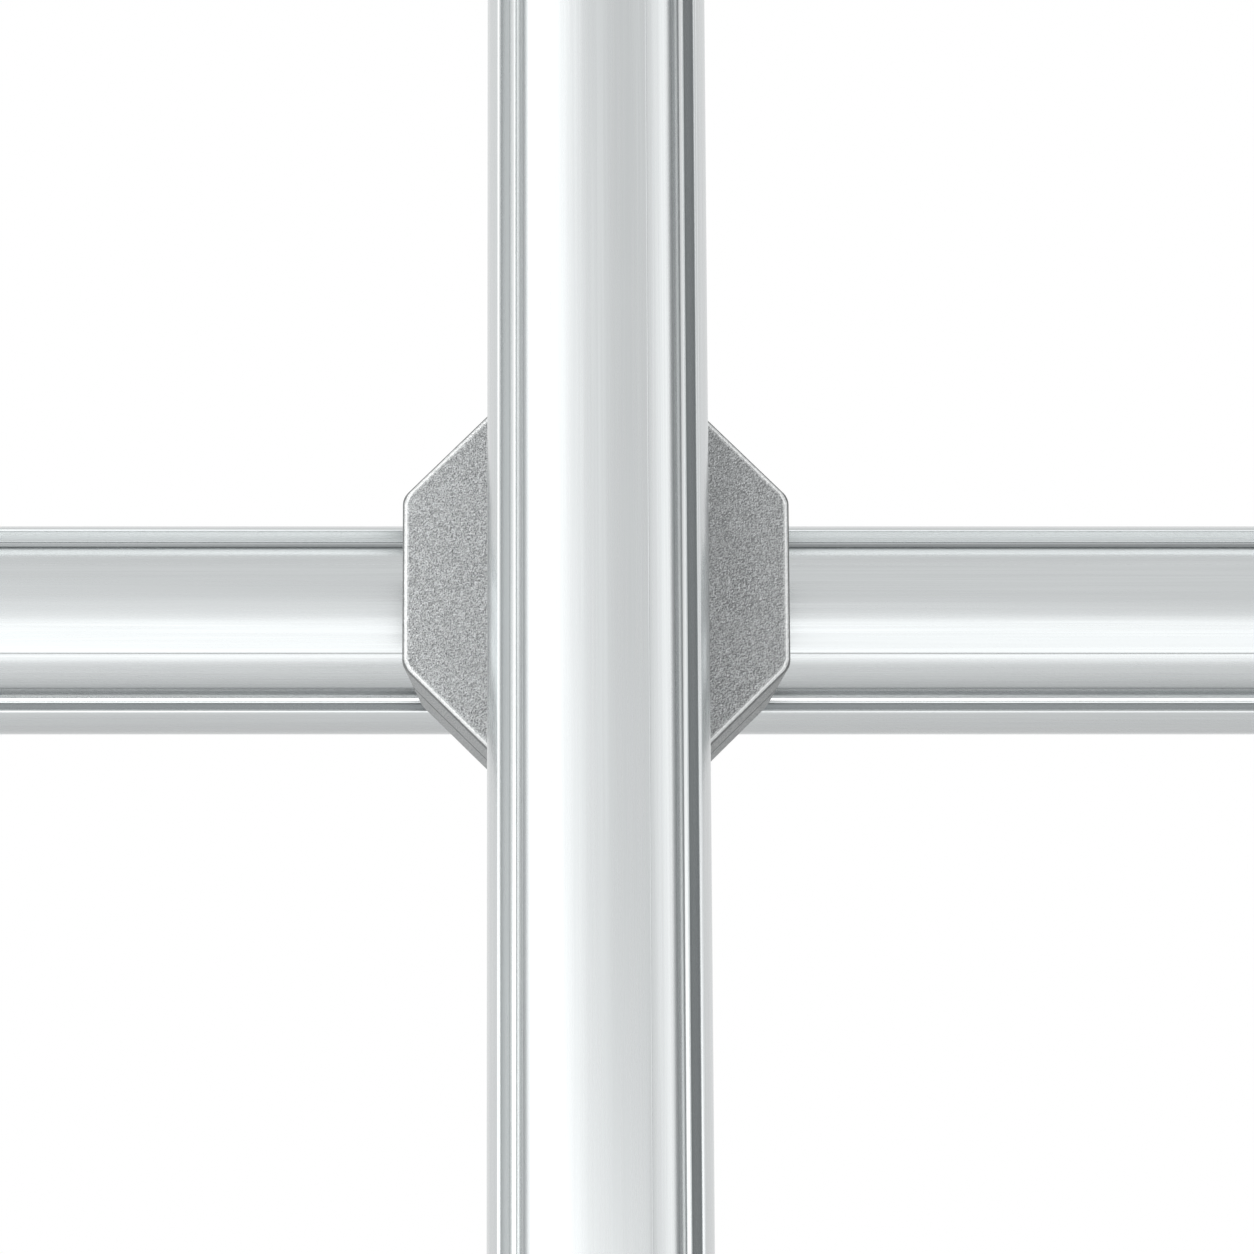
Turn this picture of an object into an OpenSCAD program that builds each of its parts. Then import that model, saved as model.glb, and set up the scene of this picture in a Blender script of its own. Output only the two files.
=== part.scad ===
// Lean tube joint: two railed aluminium tubes crossed at a right angle and held
// together by a two-part octagonal clamp block.
// X runs along the cross tube, Z along the upright, and the front is towards -Y.
// The origin is the centre of the block, midway between the two tubes.

/* [Tubes] */
// Outside diameter over the rails
tube_d = 28; // [26:0.5:32]
// Bore of the tube
bore_d = 20; // [16:0.5:21]
// Diameter of the round core between the rails
core_d = 22.8; // [22:0.2:24.6]
// Width of a rail across its edges
rail_w = 12.6; // [11:0.2:13.6]
// Rounding of the rail edges
rail_edge_r = 0.3; // [0.1:0.05:0.5]
// Fillet where a rail runs into the core
rail_foot_r = 0.6; // [0.2:0.1:0.8]
// Length of the upright
upright_l = 200; // [120:10:600]
// Length of the cross tube
cross_l = 200; // [120:10:600]

/* [Block halves] */
// Thickness of one half
half_t = 7; // [6.4:0.1:10]
// Width of a half across its tube, at the face against the tube
face_w = 50; // [46:1:64]
// Length of a half along its tube, at the face against the tube
face_l = 46; // [44:1:60]
// Length of the straight edge on each side of the block
side_l = 22.5; // [20:0.5:24]
// Rounding of the outer edges
edge_r = 0.8; // [0.3:0.1:1.2]
// Bevel at the parting line
parting_bevel = 0.25; // [0.1:0.05:0.5]

/* [Jaws] */
// How far a moving jaw opens
jaw_travel = 2.4; // [2.2:0.1:2.8]
// Length of a moving jaw along the tube
jaw_l = 31; // [24:1:31]
// Step on each end of a moving jaw that keeps it in the block
jaw_lip = 2.5; // [1.5:0.1:2.5]
// Thickness of a moving jaw's foot
jaw_foot_t = 3.2; // [2.6:0.1:3.6]
// Thickness of a moving jaw's stem, which passes through the face
jaw_stem_t = 4.6; // [4:0.1:5]
// Length of the fixed jaw along the tube
fixed_jaw_l = 40; // [30:1:42]
// How far the jaws stay inside the outline of the tube
jaw_inset = 1.1; // [0.8:0.1:1.6]
// Rounding of the outer corners of the jaws
jaw_round = 1.5; // [0.5:0.1:2]
// Fillet at the root of the fixed jaw
jaw_fillet = 1; // [0.5:0.1:1.5]
// How far round the core a jaw reaches, in degrees from its rail
jaw_reach = 48; // [42:1:50]

/* [Clamp screws] */
// Diameter of a clamp screw
screw_d = 5; // [4:0.5:5]
// How far a clamp screw sits below the side of the block with its jaw closed
screw_recess = 3.55; // [3:0.05:4.5]
// Distance between the two screws of a jaw
screw_pitch = 14; // [12:1:15]
// Width across the flats of a clamp screw's socket
screw_key = 2.5; // [2:0.5:2.5]
// Depth of the socket
screw_key_depth = 3; // [2:0.5:4]
// Countersink at the mouth of a screw hole
screw_mouth = 0.5; // [0.2:0.1:0.6]

/* [Centre screw] */
// Diameter of the centre screw
bolt_d = 6; // [5:1:6]
// Length of the centre screw under its head
bolt_l = 10; // [9.5:0.1:10]
// Diameter of its flat head
bolt_head_d = 10; // [9:0.5:10]
// Thickness of its head
bolt_head_t = 2; // [1.5:0.1:2.6]
// Width across the flats of its socket
bolt_key = 4; // [3:1:4]
// Width across the flats of the nut
nut_w = 10; // [9:0.5:10]
// Thickness of the nut
nut_t = 3.2; // [2.5:0.1:3.2]
// Depth of the recess for the head or the nut
recess_depth = 3.8; // [3.4:0.1:4.2]

/* [Cored pockets] */
// Depth of the pockets in the parting face
core_depth = 3.5; // [2:0.5:4]
// Wall round the pockets
core_wall = 3; // [2:0.5:4]
// Width of the ribs that carry the dowels
rib_w = 9; // [7:0.5:10]
// Rounding of the pocket corners
core_round = 1.5; // [0.5:0.25:2]

/* [Dowels] */
// Diameter of a dowel
dowel_d = 4; // [3:0.5:5]
// Length of a dowel
dowel_l = 8; // [6:0.5:10]
// Distance of each dowel from the side of the block
dowel_inset = 8; // [6:0.5:9]

/* [Fits] */
// Gap between a tube and what grips it
grip_gap = 0.1; // [0.05:0.05:0.2]
// Gap between the tip of a jaw and the core of the tube
tip_gap = 0.3; // [0.2:0.1:0.5]
// Gap round a moving jaw in its pocket
slide_gap = 0.2; // [0.1:0.05:0.3]
// Gap between the thread of a screw and its hole, on the radius
thread_gap = 0.05; // [0.02:0.01:0.08]
// Gap round the nut and the centre screw's head, on each side
recess_gap = 0.1; // [0.05:0.05:0.2]

/* [Hidden] */
$fn = 64;

tube_colour = "gainsboro";
casting_colour = "darkgray";
steel_colour = "dimgray";

// The small overlap that keeps cuts clean
eps = 0.01;

// Tube section, measured from the tube's axis
tube_r = tube_d / 2;
core_r = core_d / 2;
rail_half = rail_w / 2;
// The two 45 degree flanks of a rail would meet this far from the axis
flank_from = sqrt(pow(tube_r, 2) - pow(rail_half, 2)) - rail_half;

// Height of the tube's axis above the parting face
axis_h = half_t + grip_gap + tube_r;

// The 45 degree corners of the block keep |x| + |y| to this
corner_sum = (face_w + side_l) / 2;
// Half width of the block at the parting face, the same both ways
parting_half = (face_w + face_l) / 4;

// Moving jaw, at rest against its rail
jaw_in = rail_half + 4 * grip_gap;
jaw_out = tube_r - jaw_inset;
pocket_in = jaw_in - 3 * slide_gap;
pocket_out = jaw_out + jaw_travel + slide_gap;
slot_out = jaw_in + jaw_stem_t + jaw_travel + slide_gap;
jaw_foot_l = jaw_l + 2 * jaw_lip;

// Clamp screws, on the middle of the half's thickness
screw_h = half_t / 2;
screw_side = (face_w / 2 + parting_half) / 2;
screw_l = screw_side - screw_recess - jaw_out - thread_gap;

// Distance of each dowel from the centre
dowel_at = parting_half - dowel_inset;

// Points on an arc, from angle a0 to angle a1 in n steps
function arc(centre, r, a0, a1, n) = [
    for (i = [0 : n])
        let (a = a0 + (a1 - a0) * i / n)
        centre + r * [cos(a), sin(a)]
];

// A circle of radius r about the axis, and a line parallel to a flank that starts
// at b on the rail's middle: the point where they meet
function flank_point(r, b) =
    let (x = (b + sqrt(2 * r * r - b * b)) / 2)
    [x, x - b];

function mirrored(points) = [
    for (i = [len(points) - 1 : -1 : 0]) [points[i].x, -points[i].y]
];

function flipped(points) = [
    for (i = [len(points) - 1 : -1 : 0]) [-points[i].x, points[i].y]
];

function turned(points, a) = [
    for (p = points) [p.x * cos(a) - p.y * sin(a), p.x * sin(a) + p.y * cos(a)]
];

// Half of one quarter of the tube's outline: from the middle of the rail that
// points along X, over its edge and down its flank, to the middle of the groove
function rail_side() =
    let (
        edge = flank_point(tube_r - rail_edge_r, flank_from + rail_edge_r * sqrt(2)),
        foot = flank_point(core_r + rail_foot_r, flank_from - rail_foot_r * sqrt(2)),
        edge_a = atan2(edge.y, edge.x),
        foot_a = atan2(foot.y, foot.x)
    )
    concat(
        arc([0, 0], tube_r, edge_a / 12, edge_a, 11),
        arc(edge, rail_edge_r, edge_a + 20, 135, 4),
        arc(foot, rail_foot_r, -45, foot_a - 180, 7),
        arc([0, 0], core_r, foot_a + 3, 43, 5)
    );

function tube_outline() =
    let (side = rail_side())
    [for (k = [0 : 3]) each turned(concat(mirrored(side), [[tube_r, 0]], side), 90 * k)];

module tube(length) {
    linear_extrude(height = length, center = true)
        difference() {
            polygon(tube_outline());
            circle(d = bore_d, $fn = 128);
        }
}

// Every part of a half is drawn with its parting face on the XY plane, and with
// its tube along Y at the height axis_h. These two turn it into place.
module front_side() {
    rotate([90, 0, 0]) children();
}

module rear_side() {
    rotate([0, -90, -90]) children();
}

// Two opposite sides of the block, as a slab across it: from the bevel at the
// parting face, out to the rounded edge at the face against the tube
module side_pair(half_parting, half_face) {
    b = parting_bevel;
    side = concat(
        [[half_parting - b, 0], [half_parting, b]],
        arc([half_face - edge_r, half_t - edge_r], edge_r, 0, 90, 6)
    );
    rotate([90, 0, 0])
        linear_extrude(height = 2 * face_w, center = true)
            polygon(concat(side, flipped(side)));
}

module plate() {
    half_corner = corner_sum / sqrt(2);
    intersection() {
        side_pair(parting_half, face_w / 2);
        rotate([0, 0, 90])
            side_pair(parting_half, face_l / 2);
        rotate([0, 0, 45])
            side_pair(half_corner, half_corner);
        rotate([0, 0, -45])
            side_pair(half_corner, half_corner);
    }
}

// The part of a jaw that stands on the face and hooks under the rail, as an
// outline across the tube: first the side towards the rail, then round the core.
// It is worked out with X towards the half, and turned upright at the end.
function hook_outline(from_h) =
    let (
        flank = flank_from - grip_gap * sqrt(2),
        reach_r = core_r + tip_gap,
        tip = flank_point(reach_r, flank),
        tip_a = atan2(tip.y, tip.x),
        low = reach_r * cos(jaw_reach)
    )
    [for (p = concat(
        [[axis_h - from_h, jaw_in], [jaw_in + flank, jaw_in], tip + [0.3, 0.3]],
        arc([0, 0], reach_r, tip_a + 1.5, jaw_reach, 6),
        arc([low + jaw_round, jaw_out - jaw_round], jaw_round, 180, 90, 5),
        [[axis_h - from_h, jaw_out]]
    )) [p.y, axis_h - p.x]];

// Keeps a jaw to its length, with its outer corners rounded
module jaw_blank(length) {
    corner = [jaw_out - jaw_round, length / 2 - jaw_round];
    side = arc(corner, jaw_round, 0, 90, 5);
    linear_extrude(height = axis_h)
        polygon(concat([[0, -length / 2]], mirrored(side), side, [[0, length / 2]]));
}

module hook(from_h, length) {
    intersection() {
        rotate([90, 0, 0])
            linear_extrude(height = length, center = true)
                polygon(hook_outline(from_h));
        jaw_blank(length);
    }
}

// Fillet where the outer side of the fixed jaw meets the face
module jaw_root(length) {
    f = jaw_fillet;
    straight = length - 2 * jaw_round;
    rotate([90, 0, 0])
        linear_extrude(height = straight, center = true)
            polygon(concat(
                [[jaw_out - f, half_t - f]],
                arc([jaw_out + f, half_t + f], f, 270, 180, 5)
            ));
}

// The pocket of the moving jaw: wide under the face for its foot, and a narrower
// slot through the face, so that the jaw can slide but not lift out
module jaw_pocket() {
    slot_l = jaw_l + 2 * slide_gap;
    foot_l = jaw_foot_l + 2 * slide_gap;
    translate([pocket_in, -slot_l / 2, -eps])
        cube([slot_out - pocket_in, slot_l, half_t + 2 * eps]);
    translate([pocket_in, -foot_l / 2, -eps])
        cube([pocket_out - pocket_in, foot_l, jaw_foot_t + 2 * slide_gap + eps]);
}

module screw_holes() {
    for (side = [-1, 1])
        translate([jaw_out, side * screw_pitch / 2, screw_h])
            rotate([0, 90, 0]) {
                cylinder(d = screw_d, h = face_w);
                translate([0, 0, screw_side - jaw_out - screw_mouth])
                    cylinder(d1 = screw_d, d2 = screw_d + 4 * screw_mouth, h = 2 * screw_mouth);
            }
}

module hexagon(across, height) {
    rotate([0, 0, 30])
        cylinder(d = across / cos(30), h = height, $fn = 6);
}

module centre_hole() {
    translate([0, 0, half_t - recess_depth])
        hexagon(nut_w + 2 * recess_gap, recess_depth + eps);
    translate([0, 0, -eps])
        cylinder(d = bolt_d + 4 * thread_gap, h = half_t);
}

module dowel_holes() {
    for (at = [[-dowel_at, 0], [0, -dowel_at]])
        translate([at.x, at.y, -eps])
            cylinder(d = dowel_d, h = dowel_l / 2 + slide_gap + eps);
}

// One of the two pockets that lighten a half behind its fixed jaw
module cored_pocket() {
    in = nut_w / 2 + core_wall;
    side = parting_half - core_wall;
    slant = corner_sum - core_wall * sqrt(2);
    low = rib_w / 2;
    translate([0, 0, -eps])
        linear_extrude(height = core_depth + eps)
            offset(r = core_round, $fn = 24)
                offset(delta = -core_round)
                    polygon([
                        [-in, low], [-side, low], [-side, slant - side],
                        [side - slant, side], [-in, side]
                    ]);
}

module half() {
    color(casting_colour)
        difference() {
            union() {
                plate();
                mirror([1, 0, 0]) {
                    hook(half_t / 2, fixed_jaw_l);
                    jaw_root(fixed_jaw_l);
                }
            }
            jaw_pocket();
            screw_holes();
            centre_hole();
            dowel_holes();
            cored_pocket();
            mirror([0, 1, 0])
                cored_pocket();
        }
}

// A moving jaw: its hook overhangs the face on a slimmer stem, so that the slot
// for the stem stays under the tube
module jaw() {
    hook_h = half_t + slide_gap;
    color(casting_colour) {
        hook(hook_h, jaw_l);
        translate([jaw_in, -jaw_l / 2, slide_gap])
            cube([jaw_stem_t, jaw_l, hook_h]);
        translate([jaw_in, -jaw_foot_l / 2, slide_gap])
            cube([jaw_out - jaw_in, jaw_foot_l, jaw_foot_t]);
    }
}

// A headless screw with a bevelled point, its tip against the moving jaw
module clamp_screw(side) {
    r = screw_d / 2 - thread_gap;
    bevel = r / 4;
    color(steel_colour)
        translate([jaw_out + thread_gap, side * screw_pitch / 2, screw_h])
            rotate([0, 90, 0])
                difference() {
                    rotate_extrude()
                        polygon([
                            [0, 0], [r - 2 * bevel, 0], [r, 2 * bevel],
                            [r, screw_l - bevel], [r - bevel, screw_l], [0, screw_l]
                        ]);
                    translate([0, 0, screw_l - screw_key_depth])
                        hexagon(screw_key, screw_key_depth + eps);
                }
}

// The screw that holds the halves together, its head in the front half's recess
module centre_bolt() {
    r = bolt_head_d / 2;
    bevel = bolt_head_t / 5;
    bearing_h = half_t - recess_depth;
    color(steel_colour)
        difference() {
            union() {
                translate([0, 0, bearing_h])
                    rotate_extrude()
                        polygon([
                            [0, 0], [r, 0], [r, bolt_head_t - bevel],
                            [r - bevel, bolt_head_t], [0, bolt_head_t]
                        ]);
                translate([0, 0, bearing_h - bolt_l])
                    cylinder(d = bolt_d - 2 * thread_gap, h = bolt_l);
            }
            translate([0, 0, bearing_h + bolt_head_t / 4])
                hexagon(bolt_key, bolt_head_t);
        }
}

module nut() {
    color(steel_colour)
        translate([0, 0, half_t - recess_depth])
            difference() {
                hexagon(nut_w, nut_t);
                translate([0, 0, -eps])
                    cylinder(d = bolt_d, h = nut_t + 2 * eps);
            }
}

module dowel(at) {
    bevel = dowel_d / 10;
    r = dowel_d / 2;
    h = dowel_l / 2;
    color(steel_colour)
        translate([at.x, at.y, 0])
            rotate_extrude()
                polygon([
                    [0, -h], [r - bevel, -h], [r, bevel - h],
                    [r, h - bevel], [r - bevel, h], [0, h]
                ]);
}

module upright_tube() {
    color(tube_colour)
        translate([0, -axis_h, 0])
            tube(upright_l);
}

module cross_tube() {
    color(tube_colour)
        translate([0, axis_h, 0])
            rotate([0, 90, 0])
                tube(cross_l);
}

module front_half() {
    front_side() half();
}

module rear_half() {
    rear_side() half();
}

module front_jaw() {
    front_side() jaw();
}

module rear_jaw() {
    rear_side() jaw();
}

module front_screw_upper() {
    front_side() clamp_screw(1);
}

module front_screw_lower() {
    front_side() clamp_screw(-1);
}

module rear_screw_left() {
    rear_side() clamp_screw(-1);
}

module rear_screw_right() {
    rear_side() clamp_screw(1);
}

module centre_screw() {
    front_side() centre_bolt();
}

module centre_nut() {
    rear_side() nut();
}

module side_dowel() {
    front_side() dowel([-dowel_at, 0]);
}

module lower_dowel() {
    front_side() dowel([0, -dowel_at]);
}

upright_tube();
cross_tube();
front_half();
rear_half();
front_jaw();
rear_jaw();
front_screw_upper();
front_screw_lower();
rear_screw_left();
rear_screw_right();
centre_screw();
centre_nut();
side_dowel();
lower_dowel();
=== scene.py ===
"""Looks of a lean tube joint: two railed tubes crossed on an octagonal clamp block."""

import logging
import math
from dataclasses import dataclass, field
from enum import Enum
from typing import Iterable, Sequence

import bmesh
import bpy
from mathutils import Matrix, Vector


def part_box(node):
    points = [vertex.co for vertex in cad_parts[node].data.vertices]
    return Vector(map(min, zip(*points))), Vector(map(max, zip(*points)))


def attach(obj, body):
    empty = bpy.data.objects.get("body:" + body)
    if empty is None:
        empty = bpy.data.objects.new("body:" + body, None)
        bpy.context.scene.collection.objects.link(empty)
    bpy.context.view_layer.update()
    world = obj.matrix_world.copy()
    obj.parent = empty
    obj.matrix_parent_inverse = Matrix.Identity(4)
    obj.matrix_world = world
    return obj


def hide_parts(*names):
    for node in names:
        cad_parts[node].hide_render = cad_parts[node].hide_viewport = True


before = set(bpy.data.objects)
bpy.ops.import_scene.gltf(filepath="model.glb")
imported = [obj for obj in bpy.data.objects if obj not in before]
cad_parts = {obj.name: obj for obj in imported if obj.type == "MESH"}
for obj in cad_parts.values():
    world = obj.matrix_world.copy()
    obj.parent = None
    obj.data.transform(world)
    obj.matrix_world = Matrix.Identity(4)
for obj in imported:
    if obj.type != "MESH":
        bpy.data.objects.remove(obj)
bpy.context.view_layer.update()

log = logging.getLogger("lean_tube_joint")

MM = 0.001
MERGE_GAP = 0.001 * MM
DRAWN_MERGE_GAP = 0.002 * MM
FLAT_ANGLE = math.radians(1)
SHARP_ANGLE = math.radians(32)
SOFTENED_ANGLE = math.radians(35)

# Face attributes from -1 to 1, which the finishes read.
# Edge wear of the castings with a painted highlight on it, and painted shade on the rim's sides.
EDGE_WEAR_AND_PAINTED_LIGHT = "edge_wear_and_painted_light"
# Painted shade and painted highlights in the tubes' grooves.
PAINTED_GROOVE_SHADING = "groove"


class Run(Enum):
    """The way a tube runs, with the turn that takes a piece drawn along Z there."""

    UPRIGHT = "upright"
    ACROSS = "across"

    @property
    def turn(self) -> Matrix:
        """The rotation from a piece drawn along Z."""
        if self is Run.UPRIGHT:
            return Matrix.Identity(4)
        return Matrix.Rotation(math.radians(90), 4, "Y")

    @property
    def stretch(self) -> tuple[float, float, float]:
        """How a pattern is scaled so that it runs out along the tube."""
        along = 0.006
        return (1, 1, along) if self is Run.UPRIGHT else (along, 1, 1)


class Tone(Enum):
    """The shades that the finishes start from, as linear colour, painted shade and painted highlights
    among them.
    """

    EXTRUSION = (0.565, 0.585, 0.59)
    # Painted shade in the tubes' grooves.
    PAINTED_GROOVE_SHADING = (0.15, 0.16, 0.165)
    # Painted highlight in the tubes' grooves.
    PAINTED_GROOVE_HIGHLIGHT = (0.86, 0.88, 0.88)
    CASTING = (0.428, 0.438, 0.442)
    # The castings' edge wear, lightened further by a painted highlight.
    WORN_AND_HIGHLIT_CASTING = (0.9, 0.91, 0.91)
    # Painted shade on the castings' rim sides and parting bevel.
    PAINTED_SHADE_CASTING = (0.12, 0.125, 0.125)
    PLATED_STEEL = (0.42, 0.43, 0.44)
    GROUND_STEEL = (0.60, 0.60, 0.61)
    FLOOR = (0.90, 0.90, 0.90)

    @property
    def rgba(self) -> tuple[float, float, float, float]:
        """The colour with full alpha, as a socket takes it."""
        return (*self.value, 1.0)

    def shaded(self, factor: float) -> tuple[float, float, float, float]:
        """The colour made darker or lighter by a factor, with full alpha."""
        return (*(factor * channel for channel in self.value), 1.0)


# --------------------------------------------------------------------- nodes


@dataclass
class NodeBench:
    """Adds and joins the nodes of one material, group or world.

    Args:
        tree: the node tree that is worked on.
    """

    tree: bpy.types.NodeTree

    def add(self, kind: str, settings: dict | None = None, **inputs: object) -> bpy.types.Node:
        """Adds a node.

        Args:
            kind: the node's class, without its ShaderNode start.
            settings: properties of the node itself.
            inputs: values or output sockets, by input name with _ for a space.

        Returns:
            The new node.
        """
        node = self.tree.nodes.new("ShaderNode" + kind)
        for name, value in (settings or {}).items():
            setattr(node, name, value)
        self.wire(node, **inputs)
        return node

    def wire(self, node: bpy.types.Node, **inputs: object) -> None:
        """Feeds a node's inputs, by their names with _ for a space."""
        for name, value in inputs.items():
            self.feed(node.inputs[name.replace("_", " ")], value)

    def effect(self, group: bpy.types.NodeTree, **inputs: object) -> bpy.types.Node:
        """Puts in a shared effect, with its own values here."""
        return self.add("Group", {"node_tree": group}, **inputs)

    def feed(self, socket: bpy.types.NodeSocket, value: object) -> None:
        """Links an output to the socket, or sets the socket's own value."""
        if isinstance(value, bpy.types.NodeSocket):
            self.tree.links.new(value, socket)
        else:
            socket.default_value = value

    def math(self, operation: str, first: object, second: object) -> bpy.types.NodeSocket:
        """Joins two numbers by an operation.

        Args:
            operation: a Math node operation.
            first: a number or an output socket.
            second: a number or an output socket.

        Returns:
            The result's socket.
        """
        node = self.add("Math", {"operation": operation})
        self.feed(node.inputs[0], first)
        self.feed(node.inputs[1], second)
        return node.outputs[0]

    def spread(self, value: object, low: float, high: float) -> bpy.types.NodeSocket:
        """Maps a 0 to 1 value to the range low to high."""
        return self.add("MapRange", Value=value, To_Min=low, To_Max=high).outputs["Result"]

    def blend(self, factor: object, first: object, second: object) -> bpy.types.NodeSocket:
        """Mixes two colours by a factor.

        Args:
            factor: 0 for the first colour, 1 for the second.
            first: a colour or an output socket.
            second: a colour or an output socket.

        Returns:
            The mixed colour's socket.
        """
        node = self.add("Mix", {"data_type": "RGBA"})
        self.feed(node.inputs["Factor"], factor)
        self.feed(node.inputs["A"], first)
        self.feed(node.inputs["B"], second)
        return node.outputs["Result"]

    def split_mark(self, name: str) -> tuple[bpy.types.NodeSocket, bpy.types.NodeSocket]:
        """Reads a face attribute that runs from -1 to 1.

        Args:
            name: the attribute's name.

        Returns:
            Its part above 0 and its part below 0, both as 0 to 1.
        """
        mark = self.add("Attribute", {"attribute_name": name}).outputs["Fac"]
        turned = self.math("MULTIPLY", mark, -1.0)
        return self.math("MAXIMUM", mark, 0.0), self.math("MAXIMUM", turned, 0.0)

    def raise_skin(self, shader: bpy.types.Node, height: object, strength: float, depth: float) -> None:
        """Gives a shader a bump.

        Args:
            shader: the material's shader.
            height: the height, from 0 to 1.
            strength: how strongly it shows.
            depth: how deep it is at a height of 1.
        """
        bump = self.add("Bump", Strength=strength, Distance=depth, Height=height)
        self.feed(shader.inputs["Normal"], bump.outputs["Normal"])


def new_group(
    name: str, inputs: dict[str, str], outputs: dict[str, str]
) -> tuple[bpy.types.NodeTree, NodeBench, bpy.types.Node, bpy.types.Node]:
    """Starts a shader node group.

    Args:
        name: the group's name.
        inputs: socket kinds by input name.
        outputs: socket kinds by output name.

    Returns:
        The group, a bench on it, its input node and its output node.
    """
    group = bpy.data.node_groups.new(name, "ShaderNodeTree")
    for in_out, sockets in (("INPUT", inputs), ("OUTPUT", outputs)):
        for label, kind in sockets.items():
            group.interface.new_socket(name=label, in_out=in_out, socket_type="NodeSocket" + kind)
    start = group.nodes.new("NodeGroupInput")
    end = group.nodes.new("NodeGroupOutput")
    return group, NodeBench(group), start, end


@dataclass
class SharedEffects:
    """The node groups that more than one finish uses, each built once.

    Attributes:
        streaks: drawing lines along a surface.
        grain: the pebbles of a skin, with painted light and shade on them.
        cloud: broad, soft change.
    """

    streaks: bpy.types.NodeTree = field(init=False)
    grain: bpy.types.NodeTree = field(init=False)
    cloud: bpy.types.NodeTree = field(init=False)

    def __post_init__(self) -> None:
        """Builds the groups."""
        self.streaks = self._streaks()
        self.grain = self._grain()
        self.cloud = self._cloud()

    @staticmethod
    def _streaks() -> bpy.types.NodeTree:
        """Drawing lines of an extrusion or a brushed face: fine ones over broad ones."""
        group, bench, start, end = new_group(
            "drawn_streaks",
            {"Vector": "Vector", "Width": "Float"},
            {"Shade": "Float", "Height": "Float"},
        )
        scale = bench.math("DIVIDE", 1.0, start.outputs["Width"])
        fine = bench.add("TexNoise", Vector=start.outputs["Vector"], Scale=scale, Detail=3.0)
        broad_scale = bench.math("MULTIPLY", scale, 0.14)
        broad = bench.add("TexNoise", Vector=start.outputs["Vector"], Scale=broad_scale, Detail=2.0)
        both = bench.math("MULTIPLY", fine.outputs[0], broad.outputs[0])
        shade = bench.add("MapRange", Value=both, From_Min=0.12, From_Max=0.42)
        bench.wire(end, Shade=shade.outputs["Result"], Height=fine.outputs[0])
        return group

    @staticmethod
    def _grain() -> bpy.types.NodeTree:
        """Pebbled skin of a blasted or plated surface, with an emboss that paints light and shade on
        the pebbles.
        """
        group, bench, start, end = new_group(
            "pebbled_grain_and_painted_light",
            {"Vector": "Vector", "Size": "Float"},
            {"Shade": "Float", "Relief": "Float", "Height": "Float"},
        )
        place, size = start.outputs["Vector"], start.outputs["Size"]
        scale = bench.math("DIVIDE", 1.0, size)
        grain = {"Scale": scale, "Detail": 2.0, "Roughness": 0.55, "Distortion": 0.3}
        pebbles = bench.add("TexNoise", Vector=place, **grain).outputs[0]
        # Painted light: the pebbles less a neighbour a little way off, so they look lit from one side.
        reach = bench.math("MULTIPLY", size, 0.3)
        aside = bench.add("CombineXYZ", X=reach, Y=reach, Z=bench.math("MULTIPLY", reach, -1.0))
        beside = bench.add("Mapping", Vector=place, Location=aside.outputs["Vector"])
        neighbour = bench.add("TexNoise", Vector=beside.outputs["Vector"], **grain).outputs[0]
        rise = bench.math("SUBTRACT", pebbles, neighbour)
        painted_relief_light = bench.add("MapRange", Value=rise, From_Min=-0.16, From_Max=0.16)
        fold = bench.math("ABSOLUTE", bench.math("SUBTRACT", pebbles, 0.5), 0.0)
        smooth = {"feature": "SMOOTH_F1"}
        pits = bench.add("TexVoronoi", smooth, Vector=place, Scale=scale, Smoothness=0.4)
        folds = bench.math("MULTIPLY", fold, 2.2)
        height = bench.math("ADD", folds, bench.math("MULTIPLY", pits.outputs["Distance"], 0.5))
        shade = bench.add("MapRange", Value=height, From_Min=0.12, From_Max=0.72)
        bench.wire(end, Shade=shade.outputs["Result"], Relief=painted_relief_light.outputs["Result"], Height=height)
        return group

    @staticmethod
    def _cloud() -> bpy.types.NodeTree:
        """Broad, soft change over a surface, as handling and anodising leave it."""
        group, bench, start, end = new_group(
            "soft_cloud", {"Vector": "Vector", "Size": "Float"}, {"Mask": "Float"}
        )
        scale = bench.math("DIVIDE", 1.0, start.outputs["Size"])
        noise = bench.add("TexNoise", Vector=start.outputs["Vector"], Scale=scale, Detail=2.0)
        mask = bench.add("MapRange", Value=noise.outputs[0], From_Min=0.3, From_Max=0.7)
        bench.wire(end, Mask=mask.outputs["Result"])
        return group


def new_material(
    name: str,
) -> tuple[bpy.types.Material, NodeBench, bpy.types.Node, bpy.types.NodeSocket]:
    """Starts a material with an empty tree.

    Args:
        name: the material's name.

    Returns:
        The material, a bench on its tree, its shader and the Object coordinate socket.
    """
    material = bpy.data.materials.new(name)
    material.use_nodes = True
    material.node_tree.nodes.clear()
    bench = NodeBench(material.node_tree)
    shader = bench.add("BsdfPrincipled")
    bench.add("OutputMaterial", Surface=shader.outputs["BSDF"])
    coordinate = bench.add("TexCoord").outputs["Object"]
    return material, bench, shader, coordinate


# ------------------------------------------------------------------ finishes


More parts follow.
